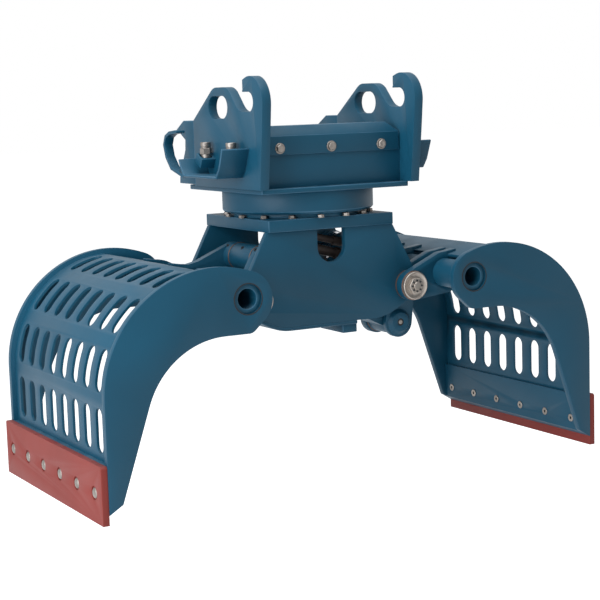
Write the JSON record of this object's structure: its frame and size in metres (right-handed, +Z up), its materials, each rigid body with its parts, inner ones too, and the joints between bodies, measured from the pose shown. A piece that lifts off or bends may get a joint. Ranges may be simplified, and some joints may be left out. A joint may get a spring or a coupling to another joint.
{
  "type": "excavator sorting grapple",
  "caption": "Sorting grapple: two counter-turning perforated shells with bolted blades under a body with link and cylinder, and a slewing head with hook ears.",
  "frame": {"origin": "on the ground under the middle of the open grapple, where the blade edges stand", "axes": "+Z up, +X to the right shell seen from the front, +Y to the rear; the hook of the ears opens upwards at the front, on -Y"},
  "size_m": [1.734, 0.804, 1.2252],
  "materials": {
    "blue_paint": "semi-gloss petrol blue paint, lightly worn on edges",
    "red_paint": "matt red-brown primer on cutting edge steel",
    "steel": "zinc plated and turned steel",
    "dark_steel": "black oxide steel",
    "rod_chrome": "ground hard chrome",
    "bronze": "greased bronze bushes",
    "hose": "brown-black sleeves on steel pipes"
  },
  "bodies": {
    "body": {"body_top_plate": "blue_paint", "slew_fixed_ring": "blue_paint", "slew_bolts": "steel", "body_front_plate": "blue_paint", "body_rear_plate": "blue_paint", "body_bottom_plate": "blue_paint", "bottom_stop_block": "blue_paint", "pivot_bushes": "bronze", "cylinder_anchor_lugs": "blue_paint", "cylinder_anchor_pin": "steel", "hose_manifold": "dark_steel", "hose_pipes": "hose"},
    "head": {"slew_turning_ring": "steel", "rotator_drum": "blue_paint", "head_base_plate": "blue_paint", "left_ear": "blue_paint", "right_ear": "blue_paint", "ear_front_plate": "blue_paint", "head_hood": "blue_paint", "hood_bolts": "steel", "ear_rear_plate": "blue_paint", "wedge_lips": "blue_paint", "left_tray": "blue_paint", "right_tray": "blue_paint", "coupling_brackets": "blue_paint", "quick_couplings": "steel", "guard_bars": "blue_paint"},
    "left_shell": {"left_front_side": "blue_paint", "left_rear_side": "blue_paint", "left_straight_plate": "blue_paint", "left_lower_plate": "blue_paint", "left_back_plate": "blue_paint", "left_top_plate": "blue_paint", "left_torque_tube": "blue_paint", "left_lugs": "blue_paint", "left_edge_bar": "blue_paint", "left_link_lever": "blue_paint", "left_link_pin": "steel", "left_blade": "red_paint", "left_blade_bolts": "steel", "left_pivot_pin": "steel"},
    "right_shell": {"right_front_side": "blue_paint", "right_rear_side": "blue_paint", "right_straight_plate": "blue_paint", "right_lower_plate": "blue_paint", "right_back_plate": "blue_paint", "right_top_plate": "blue_paint", "right_torque_tube": "blue_paint", "right_lugs": "blue_paint", "right_edge_bar": "blue_paint", "right_link_lever": "blue_paint", "right_cylinder_lever": "blue_paint", "right_lever_pins": "steel", "right_blade": "red_paint", "right_blade_bolts": "steel", "right_pivot_pin": "steel"},
    "sync_link": {"sync_link": "blue_paint"},
    "cylinder_barrel": {"cylinder_barrel": "blue_paint", "cylinder_gland": "dark_steel"},
    "cylinder_rod": {"cylinder_rod": "rod_chrome"}
  },
  "joints": [
    {"name": "head_turn", "type": "hinge", "parent": "body", "child": "head", "pos_m": [0, 0, 0.8068], "axis": [0, 0, 1], "continuous": true},
    {"name": "left_shell_close", "type": "hinge", "parent": "body", "child": "left_shell", "pos_m": [-0.276, 0, 0.5605], "axis": [0, -1, 0], "range_deg": [0, 65.5]},
    {"name": "right_shell_close", "type": "hinge", "parent": "body", "child": "right_shell", "pos_m": [0.276, 0, 0.5605], "axis": [0, 1, 0], "range_deg": [0, 65.5]},
    {"name": "link_swing", "type": "hinge", "parent": "left_shell", "child": "sync_link", "pos_m": [-0.217, 0, 0.6743], "axis": [0, -1, 0], "range_deg": [-54.8, 0]},
    {"name": "cylinder_tilt", "type": "hinge", "parent": "body", "child": "cylinder_barrel", "pos_m": [-0.15, 0.116, 0.5425], "axis": [0, -1, 0], "range_deg": [-6.6, 0]},
    {"name": "rod_extend", "type": "slide", "parent": "cylinder_barrel", "child": "cylinder_rod", "axis": [0.9404, 0, 0.3401], "range_m": [0, 0.132]}
  ],
  "couplings": [
    {"joint": "right_shell_close", "follows": "left_shell_close", "ratio": 1},
    {"joint": "link_swing", "follows": "left_shell_close", "ratio": -0.82661},
    {"joint": "cylinder_tilt", "follows": "left_shell_close", "ratio": -0.09786},
    {"joint": "rod_extend", "follows": "left_shell_close", "m_per_rad": 0.11421}
  ]
}
